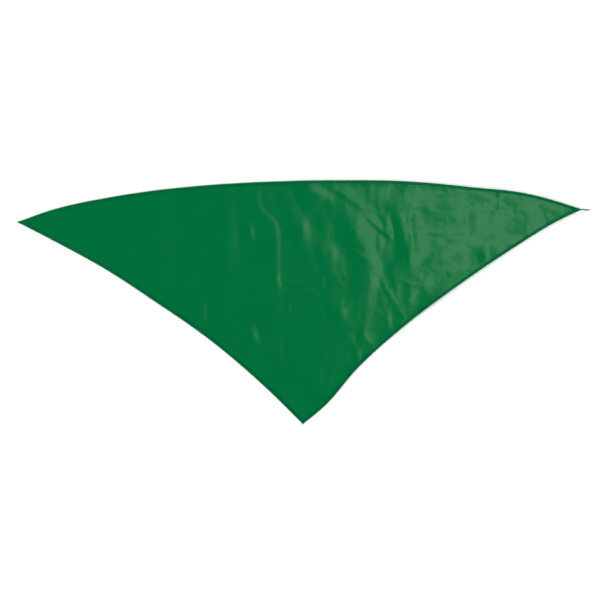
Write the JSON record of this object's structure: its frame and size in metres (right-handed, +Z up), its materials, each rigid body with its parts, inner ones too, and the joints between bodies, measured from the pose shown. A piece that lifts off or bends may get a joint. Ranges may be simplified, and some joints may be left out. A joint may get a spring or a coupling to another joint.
{
  "type": "neckerchief",
  "caption": "Triangular neckerchief of thin satin cloth with overlocked edges, lying spread out and lightly creased, with a gently bowed long edge.",
  "frame": {"origin": "on the surface the cloth lies on, under the middle of its outline's bounding box", "axes": "+X towards the right tip along the line between the tips, +Y from the point towards the long edge, +Z up out of the cloth's face"},
  "size_m": [0.9992, 0.4324, 0.0044],
  "materials": {
    "satin": "mid green satin weave with a soft sheen",
    "thread": "matt green overlock thread, a little darker than the cloth"
  },
  "bodies": {
    "root": {"cloth_panel": "satin", "long_edge_overlock": "thread", "left_edge_overlock": "thread", "right_edge_overlock": "thread"}
  },
  "joints": []
}
